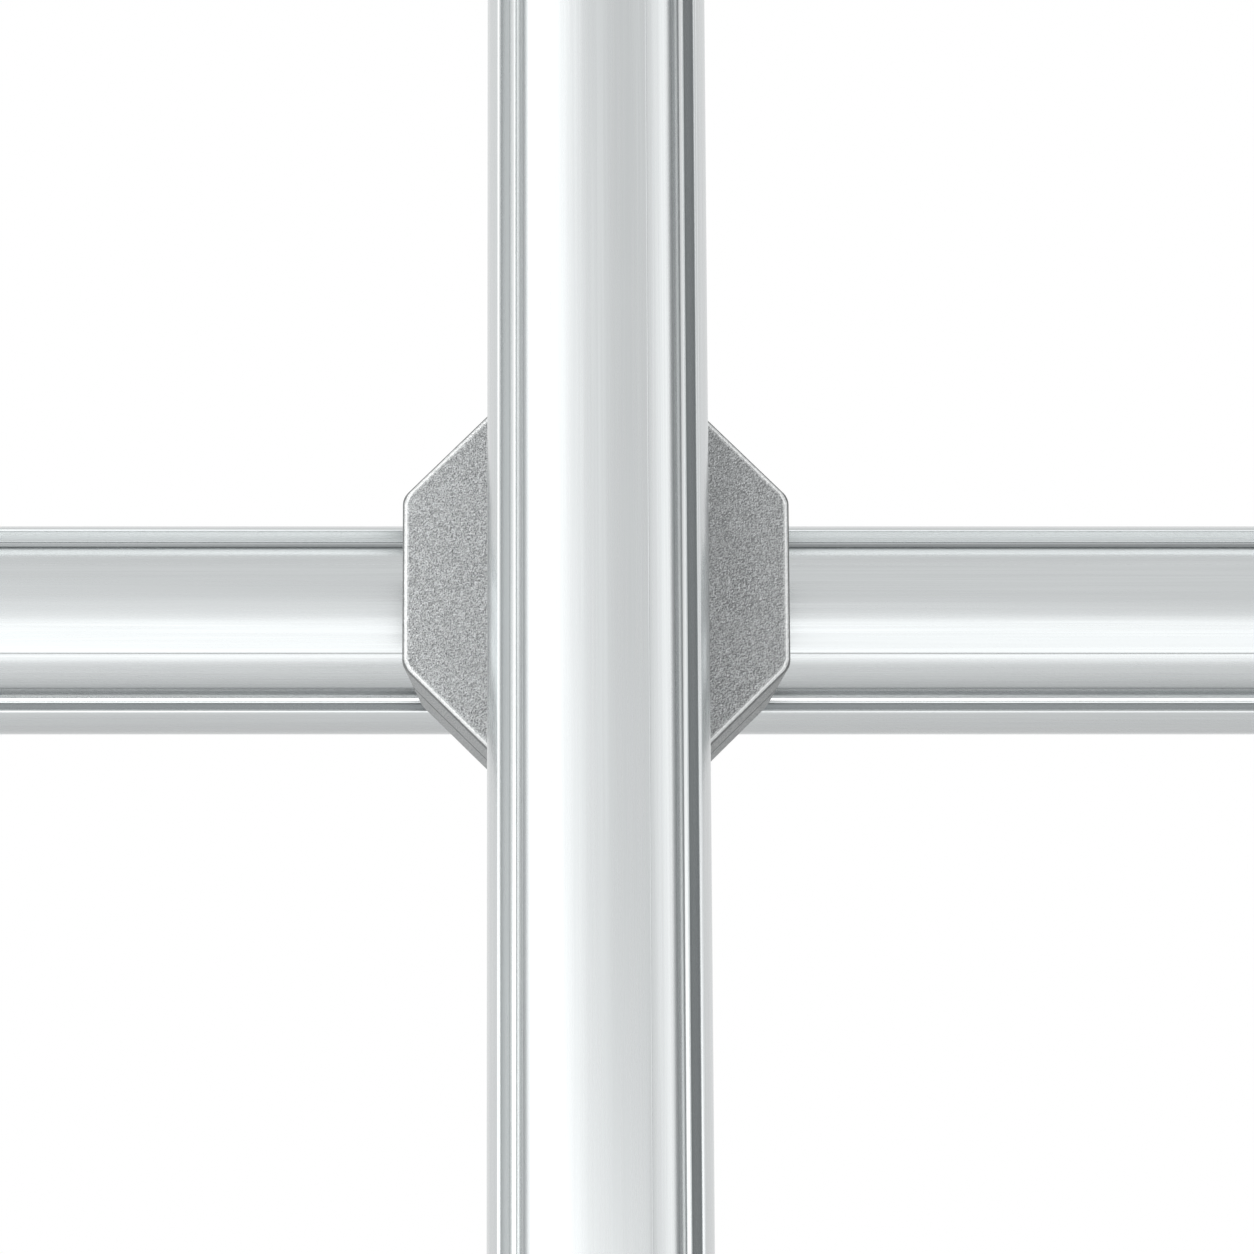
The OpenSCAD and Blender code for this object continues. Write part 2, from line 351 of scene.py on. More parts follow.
@dataclass(frozen=True)
class ExtrudedAluminium:
    """Satin anodised extrusion, with drawing lines along the tube, and painted shade and painted
    highlights in its grooves.

    Args:
        run: the way the tube runs, which the lines follow.
        roughness: roughness between the lines.
        line_width: width of the finest lines.
    """

    run: Run
    roughness: float = 0.25
    line_width: float = 0.25 * MM

    def make(self, effects: SharedEffects) -> bpy.types.Material:
        """Builds the material.

        Args:
            effects: the shared node groups.

        Returns:
            The material.
        """
        material, bench, shader, place = new_material(f"extruded_aluminium_{self.run.value}")
        drawn = bench.add("Mapping", Vector=place, Scale=self.run.stretch).outputs["Vector"]
        lines = bench.effect(effects.streaks, Vector=drawn, Width=self.line_width)
        cloud = bench.effect(effects.cloud, Vector=place, Size=18 * MM)
        dark = Tone.EXTRUSION.shaded(0.93)
        light = Tone.EXTRUSION.shaded(1.03)
        streaked = bench.blend(lines.outputs["Shade"], dark, light)
        handled = bench.spread(cloud.outputs["Mask"], 0.0, 0.25)
        clouded = bench.blend(handled, streaked, Tone.EXTRUSION.rgba)
        # Painted shade and painted highlights in the grooves, from the face marks that the tube gives.
        dull, bright = bench.split_mark(PAINTED_GROOVE_SHADING)
        with_painted_highlight = bench.blend(bright, clouded, Tone.PAINTED_GROOVE_HIGHLIGHT.rgba)
        colour = bench.blend(dull, with_painted_highlight, Tone.PAINTED_GROOVE_SHADING.rgba)
        low, high = self.roughness - 0.03, self.roughness + 0.05
        roughness = bench.spread(lines.outputs["Shade"], high, low)
        bench.wire(shader, Base_Color=colour, Roughness=roughness, Metallic=1.0)
        bench.raise_skin(shader, lines.outputs["Height"], 0.12, 0.02 * MM)
        return material


@dataclass(frozen=True)
class SawnAluminium:
    """The cut end of a tube, with the curved marks of a saw blade.

    Args:
        run: the way the tube runs, which the marks cross.
        ring_scale: how closely the marks follow each other.
    """

    run: Run
    ring_scale: float = 620.0

    def make(self, effects: SharedEffects) -> bpy.types.Material:
        """Builds the material.

        Args:
            effects: the shared node groups.

        Returns:
            The material.
        """
        material, bench, shader, place = new_material(f"sawn_aluminium_{self.run.value}")
        blade = Vector((0.0, 0.18, -0.12)) if self.run is Run.ACROSS else Vector((0.18, -0.12, 0.0))
        centred = bench.add("Mapping", Vector=place, Location=blade).outputs["Vector"]
        marks = bench.add(
            "TexWave",
            {"wave_type": "RINGS", "rings_direction": "SPHERICAL"},
            Vector=centred,
            Scale=self.ring_scale,
            Distortion=1.6,
            Detail=2.0,
        )
        grain = bench.effect(effects.grain, Vector=place, Size=0.5 * MM)
        dark = Tone.EXTRUSION.shaded(0.92)
        light = Tone.EXTRUSION.shaded(1.2)
        colour = bench.blend(marks.outputs["Fac"], dark, light)
        roughness = bench.spread(grain.outputs["Shade"], 0.28, 0.44)
        bench.wire(shader, Base_Color=colour, Roughness=roughness, Metallic=1.0)
        bench.raise_skin(shader, marks.outputs["Fac"], 0.5, 0.03 * MM)
        return material


@dataclass(frozen=True)
class MillFinish:
    """The dull, unpolished bore of an extrusion.

    Args:
        roughness: its roughness.
    """

    roughness: float = 0.5

    def make(self, effects: SharedEffects) -> bpy.types.Material:
        """Builds the material.

        Args:
            effects: the shared node groups.

        Returns:
            The material.
        """
        material, bench, shader, place = new_material("mill_finish")
        grain = bench.effect(effects.grain, Vector=place, Size=0.7 * MM)
        cloud = bench.effect(effects.cloud, Vector=place, Size=14 * MM)
        dark = Tone.EXTRUSION.shaded(0.85)
        light = Tone.EXTRUSION.shaded(1.2)
        colour = bench.blend(cloud.outputs["Mask"], dark, light)
        low, high = self.roughness - 0.06, self.roughness + 0.1
        roughness = bench.spread(grain.outputs["Shade"], low, high)
        bench.wire(shader, Base_Color=colour, Roughness=roughness, Metallic=0.35)
        bench.raise_skin(shader, grain.outputs["Height"], 0.2, 0.03 * MM)
        return material


@dataclass(frozen=True)
class BlastedCasting:
    """Die casting with a blasted, pebbled skin and edge wear, with painted light and shade: the pebbles
    lit from one side, a painted highlight on the edge line and painted shade on the rim's sides.

    Args:
        grain_size: size of the pebbles.
        roughness: roughness of the skin.
    """

    grain_size: float = 0.25 * MM
    roughness: float = 0.54

    def make(self, effects: SharedEffects) -> bpy.types.Material:
        """Builds the material.

        Args:
            effects: the shared node groups.

        Returns:
            The material.
        """
        material, bench, shader, place = new_material("blasted_casting")
        shader.inputs["Specular Tint"].default_value = (0.85, 0.85, 0.85, 1.0)
        grain = bench.effect(effects.grain, Vector=place, Size=self.grain_size)
        cloud = bench.effect(effects.cloud, Vector=place, Size=9 * MM)
        # The pebbles' painted light: lit and shaded copies of the skin colour, picked by an emboss that
        # leans one way.
        dark = Tone.CASTING.shaded(0.52)
        light = Tone.CASTING.shaded(1.52)
        skin = bench.blend(grain.outputs["Relief"], dark, light)
        skin = bench.blend(bench.spread(cloud.outputs["Mask"], 0.0, 0.3), skin, Tone.CASTING.rgba)
        # Edge wear with a painted highlight on the rim's edge line, and painted shade on its sides,
        # which are also made rougher and less metallic.
        rubbed_and_highlit, dull = bench.split_mark(EDGE_WEAR_AND_PAINTED_LIGHT)
        skin = bench.blend(dull, skin, Tone.PAINTED_SHADE_CASTING.rgba)
        worn_and_highlit = bench.math("MULTIPLY", rubbed_and_highlit, bench.spread(grain.outputs["Shade"], 0.75, 1.0))
        colour = bench.blend(worn_and_highlit, skin, Tone.WORN_AND_HIGHLIT_CASTING.rgba)
        rougher, smoother = bench.math("MULTIPLY", dull, 0.4), bench.math("MULTIPLY", worn_and_highlit, 0.22)
        change = bench.math("SUBTRACT", rougher, smoother)
        roughness = bench.math("ADD", change, self.roughness)
        metal = bench.math("SUBTRACT", 0.8, bench.math("MULTIPLY", dull, 0.6))
        bench.wire(shader, Base_Color=colour, Roughness=roughness, Metallic=metal)
        bench.raise_skin(shader, grain.outputs["Height"], 1.0, 0.2 * MM)
        return material


@dataclass(frozen=True)
class Steel:
    """A steel fastener.

    Args:
        name: the material's name.
        tone: its shade.
        roughness: its mean roughness.
    """

    name: str
    tone: Tone
    roughness: float

    def make(self, effects: SharedEffects) -> bpy.types.Material:
        """Builds the material.

        Args:
            effects: the shared node groups.

        Returns:
            The material.
        """
        material, bench, shader, place = new_material(self.name)
        grain = bench.effect(effects.grain, Vector=place, Size=0.25 * MM)
        cloud = bench.effect(effects.cloud, Vector=place, Size=2.5 * MM)
        dark = self.tone.shaded(0.86)
        colour = bench.blend(cloud.outputs["Mask"], dark, self.tone.rgba)
        low, high = self.roughness - 0.05, self.roughness + 0.07
        roughness = bench.spread(grain.outputs["Shade"], low, high)
        bench.wire(shader, Base_Color=colour, Roughness=roughness, Metallic=1.0)
        bench.raise_skin(shader, grain.outputs["Height"], 0.2, 0.02 * MM)
        return material


# -------------------------------------------------------------------- pieces


def new_piece(
    name: str, bm: bmesh.types.BMesh, materials: Sequence[bpy.types.Material]
) -> bpy.types.Object:
    """Makes an object of a finished mesh, at the origin.

    Args:
        name: the piece's name.
        bm: the mesh, which is freed.
        materials: its material slots, in order.

    Returns:
        The object.
    """
    mesh = bpy.data.meshes.new(name)
    bm.to_mesh(mesh)
    bm.free()
    for material in materials:
        mesh.materials.append(material)
    mesh.shade_smooth()
    mesh.set_sharp_from_angle(angle=SHARP_ANGLE)
    piece = bpy.data.objects.new(name, mesh)
    bpy.context.scene.collection.objects.link(piece)
    return piece


def seat(piece: bpy.types.Object, node: str, body: str) -> None:
    """Sets a piece on its body, in the place of its CAD node.

    Args:
        piece: the finished piece.
        node: the CAD node that it stands for.
        body: the body that it rides on.
    """
    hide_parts(node)
    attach(piece, body)
    log.info("%s stands for %s on %s, %d faces", piece.name, node, body, len(piece.data.polygons))


def only(kind: type, items: Iterable) -> list:
    """The items of one kind."""
    return [item for item in items if isinstance(item, kind)]


def each_once(items: Iterable) -> list:
    """The items in their own order, without repeats."""
    return list(dict.fromkeys(items))


def merged_copy(node: str) -> bmesh.types.BMesh:
    """A copy of a CAD node's mesh, merged and with its flat faces joined up."""
    bm = bmesh.new()
    bm.from_mesh(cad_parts[node].data)
    bmesh.ops.remove_doubles(bm, verts=bm.verts[:], dist=MERGE_GAP)
    bmesh.ops.dissolve_limit(bm, angle_limit=FLAT_ANGLE, verts=bm.verts[:], edges=bm.edges[:])
    for face in bm.faces:
        face.material_index = 0
    return bm


def soften(piece: bpy.types.Object, width: float) -> None:
    """Rounds a piece's crisp edges with a bevel modifier.

    Args:
        piece: the piece.
        width: the bevel's width.
    """
    bevel = piece.modifiers.new("soft_edges", "BEVEL")
    bevel.width = width
    bevel.segments = 2
    bevel.limit_method = "ANGLE"
    bevel.angle_limit = SOFTENED_ANGLE
    bevel.use_clamp_overlap = True


def centre_of(node: str) -> Vector:
    """The middle of a CAD node's box."""
    low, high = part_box(node)
    return (Vector(low) + Vector(high)) / 2


def size_of(node: str) -> Vector:
    """The size of a CAD node's box."""
    low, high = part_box(node)
    return Vector(high) - Vector(low)


@dataclass(frozen=True)
class GroovePaintedLight:
    """How much painted shade the groove beside a rail gets, from 0 to 1, or painted highlight, down to
    -1.

    Args:
        flank: tone of the rail's flanks.
        foot: tone of the fillet below them.
        core: tone of the core where it meets the fillet.
        shade: tone of the core before that, which it fades into.
    """

    flank: float = 0.0
    foot: float = 0.0
    core: float = 0.0
    shade: float = 0.0


@dataclass
class RailedTube:
    """A lean tube: a round core with four dovetail rails, sawn square at both ends, with painted shade
    and painted highlights in its grooves.

    Args:
        node: its CAD node.
        body: the body that it rides on.
        run: the way it runs.
        shaded_rail: the way from the axis to the rail whose grooves get the darker painted shade.
        dull: painted shade and painted highlights of those grooves.
        bright: painted shade and painted highlights of the grooves beside the opposite rail.
        rail_width: width of a rail across its edges.
        core_radius: radius of the core between the rails.
        bore_radius: radius of the bore.
        edge_radius: rounding of the rail edges.
        foot_radius: fillet where a rail runs into the core.
        end_bevel: bevel left on the sawn ends.
        shaded_core: where the painted shade or highlight of the core starts and is full, as the cosine
            of the angle from the rail.
    """

    node: str
    body: str
    run: Run
    shaded_rail: Vector
    dull: GroovePaintedLight
    bright: GroovePaintedLight
    rail_width: float = 12.6 * MM
    core_radius: float = 11.4 * MM
    bore_radius: float = 10.0 * MM
    edge_radius: float = 0.3 * MM
    foot_radius: float = 0.6 * MM
    end_bevel: float = 0.15 * MM
    shaded_core: tuple[float, float] = (0.66, 0.83)

    @property
    def radius(self) -> float:
        """Radius over the rails, from its CAD node's box."""
        return size_of(self.node).y / 2

    @property
    def length(self) -> float:
        """Length of the tube, from its CAD node's box."""
        return max(size_of(self.node))

    @staticmethod
    def _swing(
        bm: bmesh.types.BMesh, vert: bmesh.types.BMVert, centre: Vector, angle: float, steps: int
    ) -> bmesh.types.BMVert:
        """Draws an arc by swinging a vertex about a centre.

        Args:
            bm: the mesh.
            vert: the vertex that the arc starts from.
            centre: centre of the arc.
            angle: the swing, in radians.
            steps: how many edges the arc has.

        Returns:
            The vertex at the arc's end.
        """
        spun = bmesh.ops.spin(
            bm, geom=[vert], cent=centre, axis=(0, 0, 1), angle=angle, steps=steps, use_merge=False
        )
        return only(bmesh.types.BMVert, spun["geom_last"])[0]

    def _meet(self, radius: float, start: float) -> Vector:
        """The point at a radius on the 45 degree line that leaves the rail's middle at start."""
        x = (start + math.sqrt(2 * radius**2 - start**2)) / 2
        return Vector((x, x - start, 0))

    def _outline(self, bm: bmesh.types.BMesh) -> list[bmesh.types.BMEdge]:
        """Draws the outline of the section, as one closed loop.

        Args:
            bm: the mesh.

        Returns:
            The loop's edges.
        """
        half = self.rail_width / 2
        flank = math.sqrt(self.radius**2 - half**2) - half
        edge = self._meet(self.radius - self.edge_radius, flank + self.edge_radius * math.sqrt(2))
        foot = self._meet(self.core_radius + self.foot_radius, flank - self.foot_radius * math.sqrt(2))
        edge_angle = math.atan2(edge.y, edge.x)
        foot_angle = math.atan2(foot.y, foot.x)
        vert = bm.verts.new((self.radius, 0, 0))
        vert = self._swing(bm, vert, Vector(), edge_angle, 16)
        vert = self._swing(bm, vert, edge, math.radians(135) - edge_angle, 6)
        flank_foot = bm.verts.new(foot + self.foot_radius * Vector((1, -1, 0)).normalized())
        bm.edges.new((vert, flank_foot))
        vert = self._swing(bm, flank_foot, foot, foot_angle - math.radians(135), 8)
        self._swing(bm, vert, Vector(), math.radians(45) - foot_angle, 8)
        side = bm.verts[:] + bm.edges[:]
        copy = bmesh.ops.duplicate(bm, geom=side)["geom"]
        bmesh.ops.scale(bm, vec=(1, -1, 1), verts=only(bmesh.types.BMVert, copy))
        rail = bm.verts[:] + bm.edges[:]
        for quarter in (1, 2, 3):
            copy = bmesh.ops.duplicate(bm, geom=rail)["geom"]
            bmesh.ops.rotate(
                bm,
                cent=(0, 0, 0),
                matrix=Matrix.Rotation(math.radians(90 * quarter), 3, "Z"),
                verts=only(bmesh.types.BMVert, copy),
            )
        bmesh.ops.remove_doubles(bm, verts=bm.verts[:], dist=DRAWN_MERGE_GAP)
        return bm.edges[:]

    def _draw_out(
        self, bm: bmesh.types.BMesh, loop: Sequence[bmesh.types.BMEdge], bevel_scale: float, finish: int
    ) -> list[list[bmesh.types.BMEdge]]:
        """Draws a loop out into a wall along the tube, with a small bevel at each end.

        Args:
            bm: the mesh.
            loop: the edges of the loop, in the middle of the tube.
            bevel_scale: how the loop shrinks or grows over the bevel.
            finish: the material slot of the wall.

        Returns:
            The edges of the wall's two open ends.
        """
        half = self.length / 2
        heights = (-half, self.end_bevel - half, half - self.end_bevel, half)
        scales = (bevel_scale, 1.0, 1.0, bevel_scale)
        ends = []
        edges = list(loop)
        height, scale = 0.0, 1.0
        for step, (next_height, next_scale) in enumerate(zip(heights, scales)):
            if step:
                drawn = bmesh.ops.extrude_edge_only(bm, edges=edges)["geom"]
                edges = only(bmesh.types.BMEdge, drawn)
                for face in only(bmesh.types.BMFace, drawn):
                    face.material_index = finish
            verts = each_once(v for e in edges for v in e.verts)
            bmesh.ops.translate(bm, vec=(0, 0, next_height - height), verts=verts)
            factor = next_scale / scale
            bmesh.ops.scale(bm, vec=(factor, factor, 1), verts=verts)
            height, scale = next_height, next_scale
            if step in (0, len(heights) - 1):
                ends.append(edges)
        return ends

    def _paint_groove_light(self, bm: bmesh.types.BMesh) -> None:
        """Marks painted shade and painted highlights on the grooves beside two opposite rails."""
        groove = bm.faces.layers.float.new(PAINTED_GROOVE_SHADING)
        place = self.run.turn.to_3x3()
        flank_lean, foot_lean, beside_rail, hair = 100, 5, 0.6, 0.05 * MM
        start, full = self.shaded_core
        for face in bm.faces:
            outward = face.calc_center_median() * Vector((1, 1, 0))
            reach = outward.length
            aside = (place @ outward.normalized()).dot(self.shaded_rail)
            near = abs(aside)
            if face.material_index or reach < self.core_radius - hair or near < beside_rail:
                continue
            lean = math.degrees(face.normal.angle(outward))
            # Painted shade above 0 and painted highlight below 0, by which rail's side the face lies
            # on.
            tone = self.dull if aside > 0 else self.bright
            if lean > flank_lean:
                face[groove] = tone.flank
            elif lean > foot_lean and reach < self.core_radius + self.foot_radius:
                face[groove] = tone.foot
            elif reach < self.core_radius + hair and near > full:
                face[groove] = tone.core
            elif reach < self.core_radius + hair and near > start:
                face[groove] = tone.shade * (near - start) / (full - start)

    def build(
        self, wall: bpy.types.Material, sawn: bpy.types.Material, inside: bpy.types.Material
    ) -> bpy.types.Object:
        """Builds the tube and seats it.

        Args:
            wall: finish of the drawn surface.
            sawn: finish of the cut ends.
            inside: finish of the bore.

        Returns:
            The tube.
        """
        bm = bmesh.new()
        outer = self._draw_out(bm, self._outline(bm), 1 - self.end_bevel / self.radius, 0)
        circle = bmesh.ops.create_circle(bm, segments=96, radius=self.bore_radius)["verts"]
        bore_edges = each_once(e for v in circle for e in v.link_edges)
        bore = self._draw_out(bm, bore_edges, 1 + self.end_bevel / self.bore_radius, 2)
        for rim, hole in zip(outer, bore):
            filled = bmesh.ops.triangle_fill(bm, edges=rim + hole, use_beauty=True)["geom"]
            for face in only(bmesh.types.BMFace, filled):
                face.material_index = 1
        bmesh.ops.recalc_face_normals(bm, faces=bm.faces[:])
        self._paint_groove_light(bm)
        place = Matrix.Translation(centre_of(self.node)) @ self.run.turn
        bmesh.ops.transform(bm, matrix=place, verts=bm.verts[:])
        piece = new_piece(f"{self.node}_drawn", bm, (wall, sawn, inside))
        seat(piece, self.node, self.body)
        return piece


@dataclass
class Casting:
    """A half of the block or a jaw, cast and blasted, with its edges softened.

    Args:
        node: its CAD node.
        body: the body that it rides on.
        screws: the clamp screws that enter this casting, if any.
        hole_reach: the wall of a screw's hole lies nearer than this to its axis.
        mouth_reach: the wide mouth of a screw's hole lies nearer than this to its axis.
        soft_edge: rounding of the crisp edges.
        corner_reach: how far a rounded corner of the block runs along each side.
        corner_sum: only the corners of the block lie further out than this along X plus Z.
        rim: the outer edges of the block lie further out than this.
        parting_bevel: height of the bevel at the parting face.
        wear_and_light_bands: the wear and painted highlight, or the painted shade, of a face of the
            rim, up to each tilt in degrees from the plate.
    """

    node: str
    body: str
    screws: tuple[str, ...] = ()
    hole_reach: float = 2.6 * MM
    mouth_reach: float = 3.75 * MM
    soft_edge: float = 0.15 * MM
    corner_reach: float = 0.8 * MM
    corner_sum: float = 34.9 * MM
    rim: float = 22 * MM
    parting_bevel: float = 0.25 * MM
    wear_and_light_bands: tuple[tuple[float, float], ...] = (
        (3, 0.0), (12, 0.3), (30, 1.0), (42, 0.55), (75, -0.8), (91, -0.4)
    )

    def build(self, skin: bpy.types.Material) -> bpy.types.Object:
        """Builds the casting from a merged copy of its node.

        Args:
            skin: the blasted finish.

        Returns:
            The casting.
        """
        bm = merged_copy(self.node)
        self._round_corners(bm)
        if self.screws:
            self._straighten_side(bm)
        self._mark_rim_light_and_wear(bm)
        piece = new_piece(f"{self.node}_cast", bm, (skin,))
        soften(piece, self.soft_edge)
        seat(piece, self.node, self.body)
        return piece

    def _straighten_side(self, bm: bmesh.types.BMesh) -> None:
        """Runs the side's rounded edge straight past the clamp screws' holes.

        The holes' wide mouths and the cut strips of the rounded edge are taken away. The
        strips are bridged from corner to corner, the holes are led out to the side, and the
        side is filled round them.

        Args:
            bm: the casting's mesh, with its corners rounded.
        """
        middles = [centre_of(screw) for screw in self.screws]
        across_z = abs(middles[0].z) > abs(middles[0].x)
        out = Vector((0, 0, 1)) if across_z else Vector((1, 0, 0))
        along = Vector((1, 0, 0)) if across_z else Vector((0, 0, 1))

        def from_axis(vert: bmesh.types.BMVert, middle: Vector) -> float:
            """How far a vertex lies from a screw's axis."""
            gap = vert.co - middle
            return (gap - out * gap.dot(out)).length

        faces_out, leans, hair = 0.95, 0.1, 0.01 * MM
        leaning = [f for f in bm.faces if f.normal.dot(out) > faces_out and abs(f.normal.y) > leans]
        side = max(leaning, key=lambda face: face.calc_area())
        normal, point = side.normal.copy(), side.verts[0].co.copy()
        foot = min(v.co.dot(out) for v in side.verts)
        mouths = {
            face
            for face in bm.faces
            if face.calc_center_median().dot(out) > foot
            and any(all(from_axis(v, m) < self.mouth_reach for v in face.verts) for m in middles)
        }
        beside = {face for mouth in mouths for edge in mouth.edges for face in edge.link_faces} - mouths
        cut = {f for f in beside if all(v.co.dot(out) > foot - hair for v in f.verts)}
        bmesh.ops.delete(bm, geom=list(mouths | cut), context="FACES")

        # The strips' short ends stand at the corners of the block, beyond this share of its side.
        corner_share = 0.88
        rim = [e for e in bm.edges if e.is_boundary]
        end = corner_share * max(abs(v.co.dot(along)) for e in rim for v in e.verts)
        ends = [e for e in rim if min(abs(v.co.dot(along)) for v in e.verts) > end]
        half_longest = max(e.calc_length() for e in ends) / 2
        bmesh.ops.bridge_loops(bm, edges=[e for e in ends if e.calc_length() < half_longest])
        rim = [e for e in bm.edges if e.is_boundary]
        for vert in each_once(v for e in rim for v in e.verts):
            if min(from_axis(vert, m) for m in middles) < self.hole_reach:
                vert.co += out * ((point - vert.co).dot(normal) / normal.dot(out))
        bmesh.ops.triangle_fill(bm, edges=rim, use_beauty=True, normal=normal)
        bmesh.ops.recalc_face_normals(bm, faces=bm.faces[:])
        log.info("%s: %d mouth faces, %d strips made straight", self.node, len(mouths), len(cut))

    @staticmethod
    def _side_azimuth(face: bmesh.types.BMFace) -> int | None:
        """The way a side face looks round the block, in steps of 45 degrees, or None."""
        normal = face.normal
        plate_lean, slack = 0.08, 0.02
        if math.hypot(normal.x, normal.z) < plate_lean:
            return None
        steps = math.degrees(math.atan2(normal.z, normal.x)) / 45
        return round(steps) % 8 if abs(steps - round(steps)) < slack else None

    def _round_corners(self, bm: bmesh.types.BMesh) -> None:
        """Rounds the eight corners where the sides of the block meet."""
        corners = []
        for edge in bm.edges:
            middle = (edge.verts[0].co + edge.verts[1].co) / 2
            if len(edge.link_faces) != 2 or abs(middle.x) + abs(middle.z) < self.corner_sum:
                continue
            ways = [self._side_azimuth(face) for face in edge.link_faces]
            if None not in ways and (ways[0] - ways[1]) % 8 in (1, 7):
                corners.append(edge)
        log.info("%s: %d corner edges", self.node, len(corners))
        bmesh.ops.bevel(
            bm,
            geom=corners,
            offset=self.corner_reach,
            offset_type="OFFSET",
            segments=4,
            profile=0.5,
            affect="EDGES",
            clamp_overlap=False,
            material=-1,
        )

    def _mark_rim_light_and_wear(self, bm: bmesh.types.BMesh) -> None:
        """Marks the sides of the block and its parting bevel with painted shade, and the line where
        they round off as wear with a painted highlight on it.
        """
        wear = bm.faces.layers.float.new(EDGE_WEAR_AND_PAINTED_LIGHT)
        for face in bm.faces:
            middle = face.calc_center_median()
            if math.hypot(middle.x, middle.z) < self.rim:
                continue
            tilt = math.degrees(math.acos(min(1.0, abs(face.normal.y))))
            # Painted shade on the parting bevel and the rim's steep faces; edge wear with a painted
            # highlight on the band near the plate.
            if abs(middle.y) < self.parting_bevel:
                face[wear] = -1.0
            else:
                face[wear] = next(value for limit, value in self.wear_and_light_bands if tilt < limit)


@dataclass
class TurnedPart:
    """A nut, a centre screw or a dowel: its CAD solid with the edges softened.

    Args:
        node: its CAD node.
        body: the body that it rides on.
        slot: the record's material slot; not used.
        soft_edge: rounding of its edges.
    """

    node: str
    body: str
    slot: str
    soft_edge: float = 0.12 * MM

    def build(self, metal: bpy.types.Material) -> bpy.types.Object:
        """Builds the part from a merged copy of its node.

        Args:
            metal: its finish.

        Returns:
            The part.
        """
        piece = new_piece(f"{self.node}_turned", merged_copy(self.node), (metal,))
        soften(piece, self.soft_edge)
        seat(piece, self.node, self.body)
        return piece


@dataclass
class ClampScrew:
    """A headless screw with a rolled thread, a flat point and a hexagon socket.

    Args:
        node: its CAD node.
        body: the body that it rides on.
        out: the way from the point to the socket.
        pitch: thread pitch.
        depth: thread depth.
        key: width of the socket across its flats.
        key_depth: depth of the socket.
        steps: steps in a turn of the thread.
        taper: how far the ends are tapered, in thread depths.
    """

    node: str
    body: str
    out: Vector
    pitch: float = 0.8 * MM
    depth: float = 0.42 * MM
    key: float = 2.5 * MM
    key_depth: float = 3.0 * MM
    steps: int = 36
    taper: float = 1.25

    @property
    def radius(self) -> float:
        """Radius over the thread, from its CAD node's box."""
        return sorted(size_of(self.node))[0] / 2

    @property
    def length(self) -> float:
        """Length of the screw, from its CAD node's box."""
        return max(size_of(self.node))

    def _thread(self, bm: bmesh.types.BMesh) -> None:
        """Winds the thread, longer than the screw at both ends."""
        inner = self.radius - self.depth
        spare, below = 3, 2
        turns = math.ceil(self.length / self.pitch) + spare
        points = (
            (inner, 0.0),
            (inner, 0.10),
            (self.radius, 0.44),
            (self.radius, 0.56),
            (inner, 0.90),
            (inner, 1.0),
        )
        start = -self.length / 2 - below * self.pitch
        verts = [bm.verts.new((r, 0, start + self.pitch * share)) for r, share in points]
        edges = [bm.edges.new(pair) for pair in zip(verts, verts[1:])]
        bmesh.ops.spin(
            bm,
            geom=verts + edges,
            cent=(0, 0, 0),
            axis=(0, 0, 1),
            dvec=(0, 0, self.pitch / self.steps),
            angle=math.tau * turns,
            steps=turns * self.steps,
            use_merge=False,
        )
        bmesh.ops.remove_doubles(bm, verts=bm.verts[:], dist=DRAWN_MERGE_GAP)

    def _trim(self, bm: bmesh.types.BMesh) -> list[list[bmesh.types.BMEdge]]:
        """Cuts the winding square at both ends and tapers its last turns.

        Args:
            bm: the mesh.

        Returns:
            The open edges of the point and of the socket end.
        """
        rims = []
        for side in (-1, 1):
            cut = bmesh.ops.bisect_plane(
                bm,
                geom=bm.verts[:] + bm.edges[:] + bm.faces[:],
                dist=MERGE_GAP,
                plane_co=(0, 0, side * self.length / 2),
                plane_no=(0, 0, side),
                clear_outer=True,
            )["geom_cut"]
            rims.append(only(bmesh.types.BMEdge, cut))
        for vert in bm.verts:
            left = self.length / 2 - abs(vert.co.z)
            allowed = self.radius - self.depth * self.taper + left
            reach = math.hypot(vert.co.x, vert.co.y)
            if reach > allowed:
                vert.co.xy *= allowed / reach
        return rims

    def shape(self) -> bmesh.types.BMesh:
        """Makes the screw's mesh, about its middle with the socket upwards."""
        bm = bmesh.new()
        self._thread(bm)
        point, mouth = self._trim(bm)
        bmesh.ops.contextual_create(bm, geom=point)
        key_radius = self.key / 2 / math.cos(math.radians(30))
        hexagon = bmesh.ops.create_circle(bm, segments=6, radius=key_radius)["verts"]
        bmesh.ops.translate(bm, vec=(0, 0, self.length / 2), verts=hexagon)
        socket = each_once(edge for vert in hexagon for edge in vert.link_edges)
        bmesh.ops.triangle_fill(bm, edges=mouth + socket, use_beauty=True)
        drawn = bmesh.ops.extrude_edge_only(bm, edges=socket)["geom"]
        rim = [edge for edge in only(bmesh.types.BMEdge, drawn) if edge.is_boundary]
        low = only(bmesh.types.BMVert, drawn)
        bmesh.ops.translate(bm, vec=(0, 0, -self.key_depth), verts=low)
        bmesh.ops.contextual_create(bm, geom=rim)
        bmesh.ops.recalc_face_normals(bm, faces=bm.faces[:])
        return bm

    def build(self, shape: bmesh.types.BMesh, metal: bpy.types.Material) -> bpy.types.Object:
        """Sets one screw in its hole.

        Args:
            shape: the mesh that all the clamp screws share.
            metal: its finish.

        Returns:
            The screw.
        """
        bm = shape.copy()
        turn = self.out.to_track_quat("Z", "Y").to_matrix().to_4x4()
        place = Matrix.Translation(centre_of(self.node)) @ turn
        bmesh.ops.transform(bm, matrix=place, verts=bm.verts[:])
        piece = new_piece(f"{self.node}_threaded", bm, (metal,))
        seat(piece, self.node, self.body)
        return piece


# -------------------------------------------------------------------- studio


